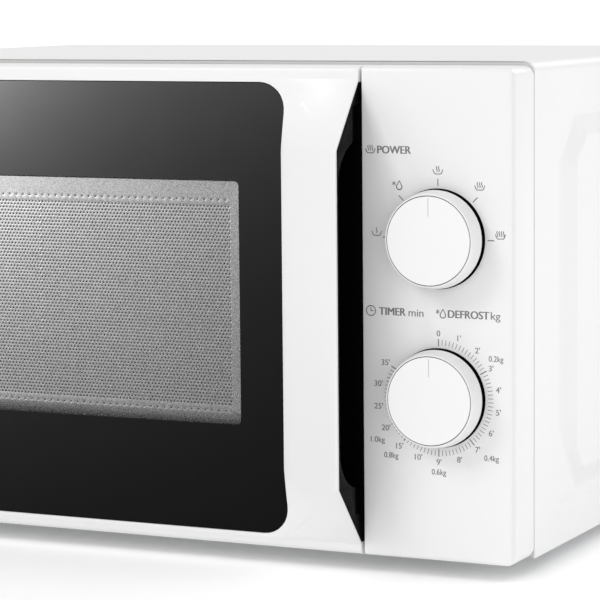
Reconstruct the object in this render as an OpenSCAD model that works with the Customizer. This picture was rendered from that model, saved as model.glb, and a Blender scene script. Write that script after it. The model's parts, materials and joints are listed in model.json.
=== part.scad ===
// Microwave oven with two dials: a folded sheet cabinet round a steel cavity, a side-hinged door
// on the left and the machine compartment behind the control panel on the right.
// Millimetres. The origin is the centre of the footprint on the table; the front faces -Y.

/* [Cabinet] */
// Overall width of the cabinet
body_w = 440; // [436:1:450]
// Height from the table to the top of the case, without the raised field
case_top = 258.5; // [256:0.5:264]
// Overall depth, from the handle to the cord bush at the rear
body_d = 358; // [356:1:370]
// Height of the feet
foot_h = 10; // [8:1:12]
// Thickness of the folded steel sheet
sheet_t = 1; // [0.8:0.1:1.2]

/* [Front] */
// Width of the control panel
panel_w = 81; // [80:1:83]
// Depth of the door and of the control panel
front_d = 27; // [26:0.5:28]
// How far the handle stands in front of the door
handle_proud = 28.2; // [24:0.2:32]
// Width of the ramp that rises from the window to the handle's edge
ramp_w = 43; // [40:1:46]
// Wall thickness of the mouldings
wall = 2.4; // [2:0.1:2.8]

/* [Cavity] */
// Inside width of the oven cavity
cavity_w = 306; // [300:1:308]
// Inside height of the oven cavity
cavity_h = 205; // [200:1:208]
// Inside depth of the oven cavity
cavity_d = 286; // [280:1:290]

/* [Turntable] */
// Radius of the glass tray
tray_r = 127.5; // [118:0.5:130]
// Radius of the circle that the rollers run on
track_r = 84; // [80:1:90]
// Radius of a roller
roller_r = 7.2; // [6.5:0.1:7.3]

/* [Dials] */
// Radius of a dial at the panel
dial_r = 24.4; // [20:0.2:26]
// Height of a dial
dial_h = 10.2; // [8:0.2:12]
// Radius of a dial shaft
shaft_r = 3; // [2.5:0.1:3.5]

/* [Door latch and switches] */
// How far the latch lifts as its hooks pass the bracket
latch_lift = 3; // [2:0.5:4]
// Travel of a microswitch plunger
plunger_travel = 1.5; // [1:0.1:2]

/* [Hidden] */
$fn = 64;

half_w = body_w / 2;
side_raise = 1.2;
case_half = half_w - side_raise;
rear_y = body_d / 2;
front_y = -rear_y + handle_proud;
frame_y = front_y + front_d + 1;
back_panel_y = rear_y - 3;
case_z0 = foot_h - 0.7;
case_r = 6;
corner_r = 5;
emboss_h = 1;
front_z0 = foot_h;
front_z1 = case_top - 2.5;
edge_gap = 1.5;
door_x0 = -half_w + edge_gap;
panel_x1 = half_w - edge_gap;
panel_x0 = panel_x1 - panel_w;
door_x1 = panel_x0 - edge_gap;
door_back_y = front_y + front_d;

cavity_x0 = door_x0 + 15.5;
cavity_x1 = cavity_x0 + cavity_w;
cavity_z0 = foot_h + 23;
cavity_z1 = cavity_z0 + cavity_h;
cavity_y0 = frame_y + sheet_t;
cavity_y1 = cavity_y0 + cavity_d;
tray_x = (cavity_x0 + cavity_x1) / 2;
tray_y = (cavity_y0 + cavity_y1) / 2;
tray_z = cavity_z0 + 15;
bay_x0 = cavity_x1 + sheet_t;
bay_x1 = half_w - sheet_t - 1.4;

dial_x = panel_x1 - 40;
timer_z = front_z0 + 82.4;
power_z = front_z0 + 161.5;
dial_gap = 2.8;
running_gap = 0.05;

ridge_z0 = front_z0 + 37.7;
ridge_z1 = front_z0 + 205;
ramp_z0 = front_z0 + 5.1;
ramp_z1 = front_z0 + 239.7;
ramp_x0 = door_x1 - ramp_w;
skin = 1.4;
scoop_depth = 24;
window_x0 = door_x0 + 9.5;
window_z0 = front_z0 + 6.9;
window_z1 = front_z0 + 238;
window_r = 14;
view_x0 = door_x0 + 50;
view_x1 = door_x1 - 67.5;
view_z0 = front_z0 + 64.8;
view_z1 = front_z0 + 187.9;

hinge_x = door_x0 + 11;
hinge_y = front_y + 14.8;
hinge_arm_z = 15;
hinge_pin_r = 2.5;
hook_x = door_x1 - 14;
hook_w = 4;
hook_h = 6;
hook_z = [front_z0 + 46, front_z0 + 196];
hook_tip_y = frame_y + 23;

// Rounds the corners of a polygon: each corner is given as [x, y, radius].
function unit(v) = v / norm(v);
function flat(c) = [c[0], c[1]];
function fold(angle) = angle > 180 ? angle - 360 : angle < -180 ? angle + 360 : angle;
function arc(centre, radius, start, turn, n) =
    [for (i = [0:n]) centre + radius * [cos(start + turn * i / n), sin(start + turn * i / n)]];
function corner(before, at, after, n) =
    let (u = unit(flat(before) - flat(at)), v = unit(flat(after) - flat(at)))
    let (half = acos(u * v) / 2, centre = flat(at) + unit(u + v) * at[2] / sin(half))
    let (first = flat(at) + u * at[2] / tan(half) - centre)
    let (last = flat(at) + v * at[2] / tan(half) - centre)
    let (start = atan2(first[1], first[0]))
    at[2] == 0 ? [flat(at)] : arc(centre, at[2], start, fold(atan2(last[1], last[0]) - start), n);
function rounded(points, n = 6) =
    let (count = len(points))
    [for (i = [0:count - 1])
        each corner(points[(i + count - 1) % count], points[i], points[(i + 1) % count], n)];
function rect(x0, y0, x1, y1, r) = rounded([[x0, y0, r], [x1, y0, r], [x1, y1, r], [x0, y1, r]]);

// Boxes, rods and extrusions between two places on an axis.
module block(lo, hi) {
    translate(lo) cube(hi - lo);
}
module along_x(x0, x1) {
    translate([x0, 0, 0]) rotate([90, 0, 90]) linear_extrude(x1 - x0) children();
}
module along_y(y0, y1) {
    translate([0, y1, 0]) rotate([90, 0, 0]) linear_extrude(y1 - y0) children();
}
module along_z(z0, z1) {
    translate([0, 0, z0]) linear_extrude(z1 - z0) children();
}
module rod_x(y, z, x0, x1, r) {
    translate([x0, y, z]) rotate([0, 90, 0]) cylinder(h = x1 - x0, r = r);
}
module rod_y(x, z, y0, y1, r) {
    translate([x, y1, z]) rotate([90, 0, 0]) cylinder(h = y1 - y0, r = r);
}
module rod_z(x, y, z0, z1, r) {
    translate([x, y, z0]) cylinder(h = z1 - z0, r = r);
}

// ---------------------------------------------------------------- cabinet

module case_outline(inset, z0) {
    polygon(rounded([
        [-case_half + inset, z0, 0],
        [case_half - inset, z0, 0],
        [case_half - inset, case_top - inset, case_r - inset],
        [-case_half + inset, case_top - inset, case_r - inset]]));
}

module side_field(inset) {
    polygon(rect(front_y + 63.5 + inset, front_z0 + 26.5 + inset, rear_y - 30 - inset,
        front_z0 + 218 - inset, 22 - inset));
}

module outer_case() {
    slot_count = 9;
    color("white") difference() {
        union() {
            along_y(frame_y, back_panel_y + sheet_t) difference() {
                case_outline(0, case_z0);
                case_outline(sheet_t, case_z0 - 1);
            }
            for (side = [-1, 1]) mirror([side < 0 ? 1 : 0, 0, 0])
                along_x(case_half - sheet_t, half_w) side_field(0);
            along_z(case_top - sheet_t, case_top + emboss_h)
                polygon(rect(-half_w + 40, frame_y + 34, half_w - 40, rear_y - 34, 20));
        }
        for (side = [-1, 1]) mirror([side < 0 ? 1 : 0, 0, 0])
            along_x(case_half - sheet_t - 1, half_w - sheet_t) side_field(sheet_t);
        along_z(case_top - sheet_t - 1, case_top)
            polygon(rect(-half_w + 41, frame_y + 35, half_w - 41, rear_y - 35, 19));
        for (i = [0:slot_count - 1])
            block([-half_w - 1, 20 + i * 12, 190], [-half_w + 5, 24 + i * 12, 222]);
    }
}

module rear_panel() {
    vent_x = 162;
    vent_z = 180;
    color("white") difference() {
        along_y(back_panel_y, back_panel_y + sheet_t)
            case_outline(sheet_t, foot_h + sheet_t);
        for (i = [-5:5]) {
            reach = sqrt(pow(46, 2) - pow(i * 7.5, 2));
            block([vent_x - reach, back_panel_y - 1, vent_z + i * 7.5 - 1.75],
                [vent_x + reach, rear_y, vent_z + i * 7.5 + 1.75]);
        }
        for (i = [0:13])
            block([-170 + i * 12, back_panel_y - 1, 60], [-166 + i * 12, rear_y, 100]);
        rod_y(190, 42, back_panel_y - 1, rear_y, 8);
    }
}

module base_plate() {
    color("silver") difference() {
        block([-case_half + sheet_t, frame_y + sheet_t, foot_h],
            [case_half - sheet_t, back_panel_y + sheet_t, foot_h + sheet_t]);
        for (x = [-150, 150], y = [-84, 140]) rod_z(x, y, foot_h - 1, foot_h + 3, 2.6);
        for (i = [0:7]) block([112 + i * 9, 40, foot_h - 1], [116 + i * 9, 56, foot_h + 3]);
        for (i = [0:7]) block([-190 + i * 9, -60, foot_h - 1], [-186 + i * 9, -20, foot_h + 3]);
    }
}

module feet() {
    color("dimgray") for (x = [-150, 150], y = [-84, 140]) {
        rod_z(x, y, 0, 1.5, 11);
        rod_z(x, y, 1.5, foot_h, 12);
        rod_z(x, y, foot_h, foot_h + 5, 2.5);
    }
}

// A pan-head screw whose head stands out along +Y.
module screw_y(x, z, y) {
    difference() {
        rod_y(x, z, y, y + 1.6, 3.6);
        block([x - 2.4, y + 0.9, z - 0.5], [x + 2.4, y + 2, z + 0.5]);
    }
}

module case_screws() {
    color("gainsboro") for (x = [-210, 210], z = [40, 140, 235])
        screw_y(x, z, back_panel_y + sheet_t);
}

module cord_inlet_bush() {
    color("#303030") difference() {
        union() {
            rod_y(190, 42, back_panel_y + sheet_t, rear_y, 11);
            rod_y(190, 42, back_panel_y - 5, back_panel_y + sheet_t, 7.95);
            rod_y(190, 42, back_panel_y - 5, back_panel_y - 1, 9.5);
        }
        rod_y(190, 42, back_panel_y - 6, rear_y + 1, 3.6);
    }
}

// ---------------------------------------------------------------- oven cavity

wave_y = 15;
wave_z = 165;
wave_x1 = bay_x0 + 26;
lamp_y = -50;
lamp_z = 222;
duct_y = -54;

// Rows of small round holes through a wall that faces along X.
module holes_x(x, y, z, count_y, count_z, pitch, r) {
    for (i = [0:count_y - 1], k = [0:count_z - 1])
        rod_x(y + (i - (count_y - 1) / 2) * pitch, z + (k - (count_z - 1) / 2) * pitch,
            x - 2, x + 2, r);
}

module oven_cavity() {
    pad_h = 1.2;
    color("gainsboro") difference() {
        union() {
            difference() {
                block([cavity_x0 - sheet_t, cavity_y0, cavity_z0 - sheet_t],
                    [cavity_x1 + sheet_t, cavity_y1 + sheet_t, cavity_z1 + sheet_t]);
                block([cavity_x0, cavity_y0 - 1, cavity_z0], [cavity_x1, cavity_y1, cavity_z1]);
            }
            rod_z(tray_x, tray_y, cavity_z0 - sheet_t, cavity_z0 + pad_h, 62);
        }
        rod_z(tray_x, tray_y, cavity_z0 - 3, cavity_z0 + 3, 7);
        block([cavity_x1 - 1, wave_y - 24, wave_z - 38], [bay_x0 + 1, wave_y + 24, wave_z + 2]);
        holes_x(bay_x0, duct_y, wave_z, 5, 8, 6, 1.75);
        holes_x(bay_x0, lamp_y, lamp_z, 4, 3, 4.5, 1.5);
        holes_x(cavity_x0, 120, 205, 7, 5, 6, 1.75);
    }
}

module front_frame() {
    y1 = frame_y + sheet_t;
    color("gainsboro") difference() {
        along_y(frame_y, y1) case_outline(sheet_t, foot_h + 0.2);
        along_y(frame_y - 1, y1 + 1)
            polygon(rect(cavity_x0, cavity_z0, cavity_x1, cavity_z1, 4));
        along_y(frame_y - 1, y1 + 1)
            polygon(rect(panel_x0 + 3, foot_h + 20, panel_x1 - 3, case_top - 22, 4));
        for (z = hook_z)
            block([hook_x - 4, frame_y - 1, z - 9], [hook_x + hook_w + 4, y1 + 1, z + 13]);
        for (z = [front_z0 + hinge_arm_z, front_z1 - hinge_arm_z])
            block([hinge_x - 6, frame_y - 1, z - 1.4], [hinge_x + 3, y1 + 1, z + 1.4]);
    }
}

module waveguide() {
    y0 = wave_y - 35;
    y1 = wave_y + 45;
    z0 = wave_z - 45;
    z1 = wave_z + 45;
    color("silver") difference() {
        union() {
            block([bay_x0, y0, z0], [wave_x1, y1, z1]);
            block([bay_x0, y0 - 8, z0 - 8], [bay_x0 + sheet_t, y1 + 8, z1 + 8]);
        }
        block([bay_x0 - 1, y0 + sheet_t, z0 + sheet_t],
            [wave_x1 - sheet_t, y1 - sheet_t, z1 - sheet_t]);
        rod_x(wave_y, wave_z, wave_x1 - 3, wave_x1 + 1, 10);
    }
}

module waveguide_cover() {
    color("tan") along_x(cavity_x1 - 0.8, cavity_x1)
        polygon(rect(wave_y - 32, wave_z - 46, wave_y + 32, wave_z + 10, 4));
}

module lamp_holder() {
    color("whitesmoke") difference() {
        union() {
            block([bay_x0, lamp_y - 16, lamp_z - 12], [bay_x0 + 1.2, lamp_y + 16, lamp_z + 12]);
            block([bay_x0, lamp_y - 13, lamp_z - 10], [bay_x0 + 28, lamp_y + 13, lamp_z + 10]);
        }
        block([bay_x0 - 1, lamp_y - 11, lamp_z - 14], [bay_x0 + 18, lamp_y + 11, lamp_z + 8]);
        rod_x(lamp_y, lamp_z - 1, bay_x0 + 10, bay_x0 + 26, 4.6);
    }
}

module oven_lamp() {
    color("lightyellow") {
        rod_x(lamp_y, lamp_z - 1, bay_x0 + 12, bay_x0 + 25, 4.5);
        rod_x(lamp_y, lamp_z - 1, bay_x0 + 9, bay_x0 + 12, 6.5);
        translate([bay_x0 + 9, lamp_y, lamp_z - 1]) sphere(6.5);
    }
}

// ---------------------------------------------------------------- magnetron and power supply

anode_r = 19;
stem_r = 9;
yoke_x1 = wave_x1 + 52;

module magnetron_yoke() {
    t = 1.8;
    color("silver") difference() {
        block([wave_x1, wave_y - 42, wave_z - 41], [yoke_x1, wave_y + 42, wave_z + 41]);
        block([wave_x1 + t, wave_y - 43, wave_z - 41 + t], [yoke_x1 - t, wave_y + 43, wave_z + 41 - t]);
        rod_x(wave_y, wave_z, wave_x1 - 1, yoke_x1 + 1, stem_r + 0.5);
    }
}

module magnetron_fins() {
    fin_count = 5;
    color("gainsboro") for (i = [0:fin_count - 1]) {
        x = wave_x1 + 17 + i * 4.3;
        difference() {
            block([x, wave_y - 39, wave_z - 39], [x + 0.8, wave_y + 39, wave_z + 39]);
            rod_x(wave_y, wave_z, x - 1, x + 2, anode_r);
        }
    }
}

module magnetron_anode() {
    color("peru") {
        rod_x(wave_y, wave_z, wave_x1 + 14, wave_x1 + 38, anode_r);
        rod_x(wave_y, wave_z, wave_x1 + 1, yoke_x1 + 3, stem_r);
        rod_x(wave_y, wave_z, bay_x0 + 5, wave_x1 + 1, 7.3);
    }
}

module magnetron_magnets() {
    color("#383838") for (x = [wave_x1 + 2, wave_x1 + 39]) difference() {
        rod_x(wave_y, wave_z, x, x + 11, 27);
        rod_x(wave_y, wave_z, x - 1, x + 12, stem_r + 0.6);
    }
}

module magnetron_filter_box() {
    x1 = yoke_x1 + 30;
    color("silver") difference() {
        union() {
            block([yoke_x1, wave_y - 27, wave_z - 27], [x1, wave_y + 27, wave_z + 27]);
            block([yoke_x1 + 10, wave_y - 10, wave_z - 37], [x1 - 4, wave_y + 10, wave_z - 27]);
        }
        block([yoke_x1 + sheet_t, wave_y - 26, wave_z - 26], [x1 - sheet_t, wave_y + 26, wave_z + 26]);
        rod_x(wave_y, wave_z, yoke_x1 - 1, yoke_x1 + 2, stem_r + 0.6);
    }
}

core_lo = [126, -62, foot_h + 3];
core_hi = [190, 28, foot_h + 78];
core_y = (core_lo[1] + core_hi[1]) / 2;
limb_w = 15;

module transformer_core() {
    color("slategray") {
        block([core_lo[0] - 6, core_lo[1] - 8, foot_h + sheet_t],
            [core_hi[0] + 6, core_hi[1] + 8, core_lo[2]]);
        difference() {
            block(core_lo, core_hi);
            for (y = [core_y - 2 * limb_w, core_y + limb_w])
                block([core_lo[0] - 1, y, core_lo[2] + limb_w],
                    [core_hi[0] + 1, y + limb_w, core_hi[2] - limb_w]);
        }
    }
}

// A coil wound round the core's middle limb.
module winding(z0, z1, bulge) {
    inner_y = limb_w + 0.2;
    outer_y = 2 * limb_w - 0.4;
    difference() {
        along_z(z0, z1) polygon(rect(core_lo[0] - bulge, core_y - outer_y,
            core_hi[0] + bulge, core_y + outer_y, 9));
        block([core_lo[0] - 0.2, core_y - inner_y, z0 - 1], [core_hi[0] + 0.2, core_y + inner_y, z1 + 1]);
    }
}

module primary_winding() {
    color("chocolate") winding(core_lo[2] + 16, core_lo[2] + 35, 12);
}

module secondary_winding() {
    color("darkgoldenrod") winding(core_lo[2] + 38, core_lo[2] + 59, 14);
}

can_y0 = 62;
can_y1 = 94;
can_z0 = foot_h + 4;
can_z1 = foot_h + 56;

module capacitor_outline(grow) {
    polygon(rect(can_y0 - grow, can_z0 - grow, can_y1 + grow, can_z1 + grow, 15));
}

module hv_capacitor() {
    color("lightsteelblue") {
        along_x(122, 204) capacitor_outline(0);
        for (z = [can_z0 + 14, can_z1 - 14]) {
            rod_x((can_y0 + can_y1) / 2, z, 114, 122, 4);
            block([109, (can_y0 + can_y1) / 2 - 3, z - 0.4], [114, (can_y0 + can_y1) / 2 + 3, z + 0.4]);
        }
    }
}

module capacitor_clamp() {
    strap = 1.2;
    color("silver") {
        difference() {
            along_x(152, 164) capacitor_outline(strap);
            along_x(151, 165) capacitor_outline(0.05);
        }
        block([152, can_y1, foot_h + sheet_t], [164, can_y1 + strap, (can_z0 + can_z1) / 2]);
        block([152, can_y1, foot_h + sheet_t], [164, can_y1 + 14, foot_h + sheet_t + strap]);
    }
}

module hv_diode() {
    color("#202020") rod_y(118, foot_h + 12, 97, 111, 3.4);
    color("silver") {
        rod_y(118, foot_h + 12, 92, 97, 0.6);
        rod_y(118, foot_h + 12, 111, 116, 0.6);
        rod_z(118, 115.4, foot_h + sheet_t, foot_h + 12, 0.6);
    }
}

// ---------------------------------------------------------------- cooling fan and air path

fan_x = 162;
fan_z = 180;
fan_r = 50;
fan_shaft_r = 2.5;
stator_y0 = 116;
stator_y1 = 136;
bar_y0 = 144;

module fan_shroud() {
    plate_y1 = bar_y0 + 7;
    bar_h = 7;
    color("whitesmoke") difference() {
        union() {
            difference() {
                union() {
                    block([bay_x0 + 1, bar_y0 + 4, fan_z - 56], [bay_x1, plate_y1, fan_z + 58]);
                    rod_y(fan_x, fan_z, bar_y0 + 4, back_panel_y, fan_r + 2);
                }
                rod_y(fan_x, fan_z, bar_y0, back_panel_y + 1, fan_r);
            }
            block([fan_x - fan_r - 2, bar_y0, fan_z - bar_h],
                [fan_x + fan_r + 2, plate_y1 - 1, fan_z + bar_h]);
        }
        rod_y(fan_x, fan_z, bar_y0 - 1, plate_y1 + 1, 5.5);
    }
}

module fan_stator() {
    color("slategray") difference() {
        block([fan_x - 26, stator_y0, fan_z - 42], [fan_x + 26, stator_y1, fan_z + 22]);
        rod_y(fan_x, fan_z, stator_y0 - 1, stator_y1 + 1, 13);
        block([fan_x - 17, stator_y0 - 1, fan_z - 32], [fan_x + 17, stator_y1 + 1, fan_z - 18]);
    }
}

module fan_coil() {
    color("chocolate") difference() {
        along_x(fan_x - 15, fan_x + 15)
            polygon(rect(stator_y0 - 7, fan_z - 49, stator_y1 + 7, fan_z - 25, 5));
        block([fan_x - 16, stator_y0 - 0.2, fan_z - 42.2], [fan_x + 16, stator_y1 + 0.2, fan_z - 31.8]);
    }
}

module fan_bearing_bracket() {
    color("silver") difference() {
        union() for (y = [stator_y0 - 6, stator_y1 + 4]) {
            block([fan_x - 26, y, fan_z - 6], [fan_x + 26, y + 2, fan_z + 6]);
            rod_y(fan_x, fan_z, y - 2, y + 3, 4.8);
            for (x = [fan_x - 22, fan_x + 22])
                rod_y(x, fan_z, y > stator_y1 ? stator_y1 : y + 2, y > stator_y1 ? bar_y0 : stator_y0, 2);
        }
        rod_y(fan_x, fan_z, stator_y0 - 20, bar_y0 + 10, fan_shaft_r + running_gap);
    }
}

module fan_rotor() {
    color("dimgray") {
        rod_y(fan_x, fan_z, stator_y0 - 1, stator_y1 + 1, 12.5);
        rod_y(fan_x, fan_z, stator_y0 - 11, bar_y0 + 24, fan_shaft_r);
    }
}

module fan_blade() {
    blade_count = 5;
    hub_y0 = bar_y0 + 10;
    color("whitesmoke") difference() {
        union() {
            rod_y(fan_x, fan_z, hub_y0, hub_y0 + 14, 11);
            for (i = [0:blade_count - 1])
                translate([fan_x, hub_y0 + 7, fan_z]) rotate([0, i * 360 / blade_count, 0])
                    translate([9, 0, 0]) rotate([32, 0, 0])
                        translate([0, -0.8, -11]) cube([38, 1.6, 22]);
        }
        rod_y(fan_x, fan_z, hub_y0 - 1, hub_y0 + 15, fan_shaft_r + 0.02);
    }
}

module air_duct() {
    t = 1.6;
    y0 = duct_y - 22;
    y1 = wave_y - 44;
    color("whitesmoke") difference() {
        block([bay_x0 + 0.2, y0, wave_z - 40], [yoke_x1, y1, wave_z + 38]);
        block([bay_x0 - 1, y0 + t, wave_z - 40 + t], [yoke_x1 - t, y1 - 8, wave_z + 38 - t]);
        block([wave_x1 + 1, y0 + 8, wave_z - 40 + t], [yoke_x1 - t, y1 + 1, wave_z + 38 - t]);
    }
}

// ---------------------------------------------------------------- mains filter

board_z = foot_h + 14;

module filter_board() {
    color("forestgreen") {
        block([112, 116, board_z], [176, 168, board_z + 1.6]);
        for (x = [116, 172], y = [120, 164]) rod_z(x, y, foot_h + sheet_t, board_z, 2.5);
    }
    color("peru") difference() {
        rod_z(132, 138, board_z + 1.6, board_z + 12, 12);
        rod_z(132, 138, board_z + 1, board_z + 13, 5);
    }
    color("gold") block([150, 126, board_z + 1.6], [168, 136, board_z + 15]);
}

module mains_fuse() {
    color("silver") for (x = [148, 164])
        block([x, 152, board_z + 1.6], [x + 5, 158, board_z + 8]);
    color("lightcyan") rod_x(155, board_z + 10, 147, 170, 2.6);
}

// ---------------------------------------------------------------- turntable

roller_z = cavity_z0 + 7.5;
ring_r = track_r - 5;
axle_r = 1.5;

module turntable_motor() {
    color("silver") difference() {
        union() {
            rod_z(tray_x, tray_y, foot_h + 3, cavity_z0 - 2, 24);
            block([tray_x - 34, tray_y - 6, cavity_z0 - 2], [tray_x + 34, tray_y + 6, cavity_z0 - sheet_t]);
            rod_z(tray_x, tray_y, foot_h + 3, cavity_z0 + 1, 5.5);
            block([tray_x + 20, tray_y - 10, foot_h + 5], [tray_x + 34, tray_y + 10, foot_h + 17]);
        }
        rod_z(tray_x, tray_y, foot_h + 8, cavity_z0 + 2, shaft_r + running_gap);
    }
}

module turntable_shaft() {
    color("gainsboro") rod_z(tray_x, tray_y, foot_h + 9, tray_z - 2, shaft_r);
}

module turntable_coupler() {
    color("whitesmoke") difference() {
        union() {
            rod_z(tray_x, tray_y, cavity_z0 + 2, tray_z - 0.1, 9);
            for (i = [0:2]) translate([tray_x, tray_y, 0]) rotate([0, 0, i * 120])
                block([5, -3.5, tray_z - 7], [22, 3.5, tray_z - 0.6]);
        }
        rod_z(tray_x, tray_y, cavity_z0 + 1, tray_z - 2, shaft_r + 0.02);
    }
}

module glass_tray() {
    lip_h = 12;
    glass_t = 5;
    color("lightcyan") {
        translate([tray_x, tray_y, tray_z]) rotate_extrude($fn = 128) polygon(rounded([
            [0, 0, 0],
            [tray_r - 14, 0, 6],
            [tray_r, lip_h - 1, 1],
            [tray_r, lip_h, 1],
            [tray_r - 5, lip_h, 1],
            [tray_r - 17, glass_t, 6],
            [0, glass_t, 0]]));
        for (i = [0:2]) translate([tray_x, tray_y, 0]) rotate([0, 0, 60 + i * 120])
            block([17, -4, tray_z - 4], [24, 4, tray_z + 1]);
    }
}

module roller_ring() {
    color("whitesmoke") {
        translate([tray_x, tray_y, roller_z]) rotate_extrude($fn = 128)
            polygon(rect(ring_r - 3.5, -3.5, ring_r, 3.5, 1));
        for (i = [0:2]) translate([tray_x, tray_y, 0]) rotate([0, 0, i * 120]) {
            rod_x(0, roller_z, ring_r - 1, track_r + 6, axle_r);
            rod_x(0, roller_z, track_r + 4, track_r + 6, 2.8);
        }
    }
}

module roller(i) {
    color("whitesmoke") translate([tray_x, tray_y, 0]) rotate([0, 0, i * 120]) difference() {
        rod_x(0, roller_z, track_r - 3, track_r + 3, roller_r);
        rod_x(0, roller_z, track_r - 4, track_r + 4, axle_r + running_gap);
        for (k = [0:4]) translate([0, 0, roller_z]) rotate([k * 72, 0, 0])
            rod_x(0, 4.4, track_r - 4, track_r + 4, 1);
    }
}

// ---------------------------------------------------------------- door switches

switch_x0 = hook_x - 4;
switch_x1 = hook_x + 8;
switch_y0 = hook_tip_y + 3.3;
switch_y1 = switch_y0 + 16;
switch_half = 14;
plunger_x = hook_x + hook_w / 2;
plunger_r = 1.6;
pin_r = 1.5;

module latch_bracket() {
    y0 = frame_y + sheet_t;
    color("whitesmoke") {
        difference() {
            block([bay_x0 + 1, y0, hook_z[0] - 20], [door_x1 + 1, y0 + 3, hook_z[1] + 20]);
            for (z = hook_z)
                block([hook_x - 3, y0 - 1, z - 4.2],
                    [hook_x + hook_w + 3, y0 + 4, z + hook_h + latch_lift + 1]);
            for (z = [hook_z[0] + 40 : 22 : hook_z[1] - 30])
                block([bay_x0 + 7, y0 - 1, z], [door_x1 - 6, y0 + 4, z + 14]);
        }
        for (z = hook_z) {
            block([switch_x0 - 4, y0 + 3, z - 18], [switch_x0, switch_y1, z + 18]);
            for (k = [-10, 10]) rod_x(switch_y1 - 6, z + k, switch_x0, switch_x1 + 1.5, pin_r);
        }
    }
}

module microswitches() {
    color("#282828") for (z = hook_z) difference() {
        union() {
            block([switch_x0, switch_y0, z - switch_half], [switch_x1, switch_y1, z + switch_half]);
            for (k = [-10, 0, 10])
                block([plunger_x - 0.4, switch_y1, z + k - 2.4],
                    [plunger_x + 0.4, switch_y1 + 4, z + k + 2.4]);
        }
        rod_y(plunger_x, z, switch_y0 - 1, switch_y1 - 2, plunger_r + running_gap);
        for (k = [-10, 10])
            rod_x(switch_y1 - 6, z + k, switch_x0 - 1, switch_x1 + 1, pin_r + 0.02);
    }
}

module plunger(z) {
    color("firebrick") rod_y(plunger_x, z, hook_tip_y + 0.3, switch_y1 - 2.5 - plunger_travel, plunger_r);
}

// ---------------------------------------------------------------- control panel and dials

module panel_shape(x0, x1, left_r, rear_left_r) {
    left_corner = x0 == door_x0 ? corner_r : 0;
    right_corner = x1 == panel_x1 ? corner_r : 0;
    intersection() {
        along_z(front_z0, front_z1) polygon(rounded([
            [x0, front_y, left_r],
            [x1, front_y, x1 == panel_x1 ? 3 : 0.8],
            [x1, door_back_y, 0],
            [x0, door_back_y, rear_left_r]]));
        along_x(x0 - 1, x1 + 1) polygon(rounded([
            [front_y, front_z0, 3],
            [door_back_y, front_z0, 0],
            [door_back_y, front_z1, 0],
            [front_y, front_z1, 3]]));
        along_y(front_y - 1, door_back_y + 1) polygon(rounded([
            [x0, front_z0, left_corner],
            [x1, front_z0, right_corner],
            [x1, front_z1, right_corner],
            [x0, front_z1, left_corner]]));
    }
}

module control_panel() {
    color("white") {
        difference() {
            panel_shape(panel_x0, panel_x1, 0.8, 0);
            block([panel_x0 + wall, front_y + wall, front_z0 + wall],
                [panel_x1 - wall, door_back_y + 1, front_z1 - wall]);
            for (z = [timer_z, power_z]) rod_y(dial_x, z, front_y - 1, front_y + 10, 5);
        }
        for (x = [dial_x - 19, dial_x + 19], z = [timer_z, power_z], k = [-14, 14])
            rod_y(x, z + k, front_y + wall - 0.5, front_y + 5.8, 3);
    }
}

module dial_unit(z, half_x, half_z, depth) {
    y0 = front_y + 5.8;
    difference() {
        union() {
            block([dial_x - half_x, y0, z - half_z], [dial_x + half_x, y0 + depth, z + half_z]);
            rod_y(dial_x, z, front_y + 3, y0 + 1, 8);
            for (k = [-1, 0, 1])
                block([dial_x + k * 12 - 3, y0 + depth, z - half_z + 6],
                    [dial_x + k * 12 + 3, y0 + depth + 8, z - half_z + 7]);
        }
        rod_y(dial_x, z, front_y, front_y + 22, shaft_r + running_gap);
    }
}

module timer_unit() {
    color("darkkhaki") dial_unit(timer_z, 26, 30, 36);
    color("silver") rod_y(dial_x, timer_z + 4, front_y + 41.8, front_y + 48, 20);
}

module power_switch_unit() {
    color("lightgray") dial_unit(power_z, 23, 23, 30);
}

module dial_shaft(z) {
    color("silver") rod_y(dial_x, z, front_y - dial_gap - dial_h + 3, front_y + 21, shaft_r);
}

module dial(z) {
    face_r = dial_r - 2.3;
    shell = 2;
    hub_r = 6;
    color("white") translate([dial_x, front_y - dial_gap, z]) difference() {
        rotate([90, 0, 0]) rotate_extrude($fn = 96) polygon(rounded([
            [shaft_r + 0.02, 0, 0],
            [hub_r, 0, 0],
            [hub_r, dial_h - shell - 0.5, 0],
            [face_r - shell, dial_h - shell - 0.5, 1],
            [dial_r - shell, 0, 0],
            [dial_r, 0, 0],
            [dial_r, 1.5, 0.4],
            [face_r + 0.9, dial_h, 1.6],
            [0, dial_h, 0],
            [0, dial_h - shell, 0],
            [shaft_r + 0.02, dial_h - shell, 0]]));
        block([-0.45, -dial_h - 1, face_r - 10], [0.45, -dial_h + 0.5, face_r - 1]);
    }
}

// ---------------------------------------------------------------- door

upper_arm_z = front_z1 - hinge_arm_z;
lower_arm_z = front_z0 + hinge_arm_z;
bezel_y0 = front_y + 0.6;
film_y0 = front_y + 3;
plate_y0 = front_y + 5;
cover_y0 = door_back_y - 2.2;
choke_x0 = hinge_x + 10;
choke_x1 = hook_x - 10;

module hinges() {
    color("silver") for (z = [lower_arm_z, upper_arm_z]) {
        up = z > (front_z0 + front_z1) / 2 ? 1 : -1;
        rod_z(hinge_x, hinge_y, z - 1, z + 1, 5.5);
        block([hinge_x - 5.5, hinge_y, z - 1], [hinge_x + 2.5, frame_y + sheet_t + 1.5, z + 1]);
        block([hinge_x - 5.5, frame_y + sheet_t, z - 6], [hinge_x + 2.5, frame_y + sheet_t + 1.5, z + 6]);
        rod_z(hinge_x, hinge_y, min(z, z + up * 9), max(z, z + up * 9), hinge_pin_r);
    }
}

// The ramp's sloping face, moved in by t; y on that face at a place across the door.
function ramp_y(x, t) =
    front_y - handle_proud * (x - ramp_x0) / ramp_w + t * norm([ramp_w, handle_proud]) / ramp_w;

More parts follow.
